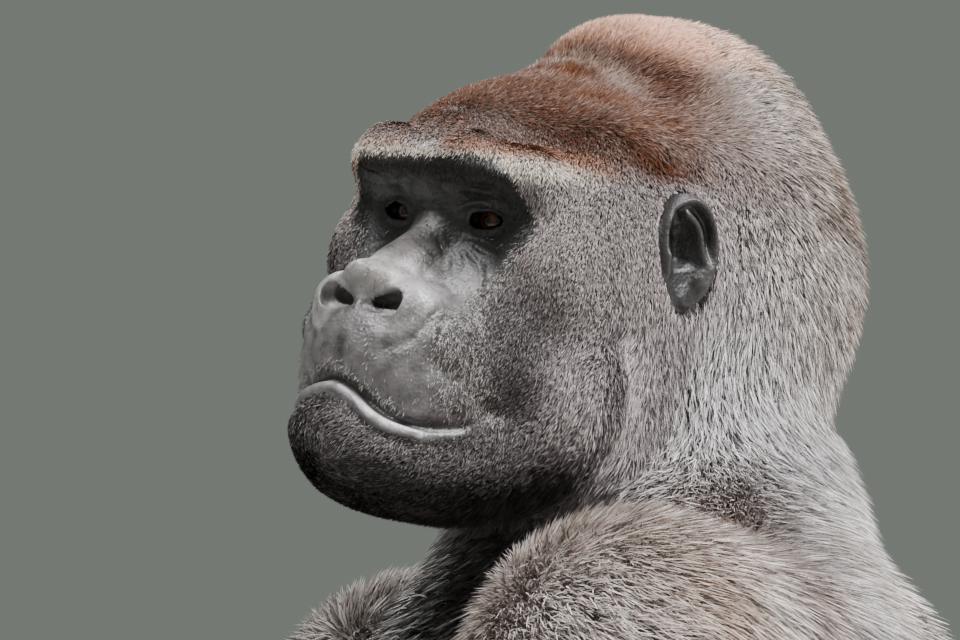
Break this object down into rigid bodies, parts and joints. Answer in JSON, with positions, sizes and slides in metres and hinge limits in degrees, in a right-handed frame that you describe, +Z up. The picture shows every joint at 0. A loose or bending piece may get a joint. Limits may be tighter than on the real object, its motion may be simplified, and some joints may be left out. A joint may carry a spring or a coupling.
{
  "type": "gorilla figure",
  "caption": "Life-size silverback gorilla sitting upright on the floor, knuckles planted in front, feet flat, head turned to its left.",
  "frame": {"origin": "on the floor, under the middle of the figure's bounding box", "axes": "+Z up, the figure sits facing -Y and its left side is +X"},
  "size_m": [1.0038, 0.908, 1.092],
  "materials": {
    "crown_coat": "short dense fur, chestnut with grizzled tips",
    "silver_coat": "silver-grey fur over a dark underlayer",
    "dark_coat": "long dark grey to black fur",
    "bare_skin": "black creased skin with a soft sheen",
    "eye": "wet, dark reddish brown"
  },
  "bodies": {
    "root": {"head": "crown_coat", "neck": "silver_coat", "chest": "silver_coat", "belly": "silver_coat", "thigh_left": "silver_coat", "thigh_right": "silver_coat", "upper_arm_left": "dark_coat", "upper_arm_right": "dark_coat", "forearm_left": "dark_coat", "forearm_right": "dark_coat", "shin_left": "dark_coat", "shin_right": "dark_coat", "hand_left": "bare_skin", "hand_right": "bare_skin", "foot_left": "bare_skin", "foot_right": "bare_skin", "ear_left": "bare_skin", "ear_right": "bare_skin", "eye_left": "eye", "eye_right": "eye"}
  },
  "joints": []
}
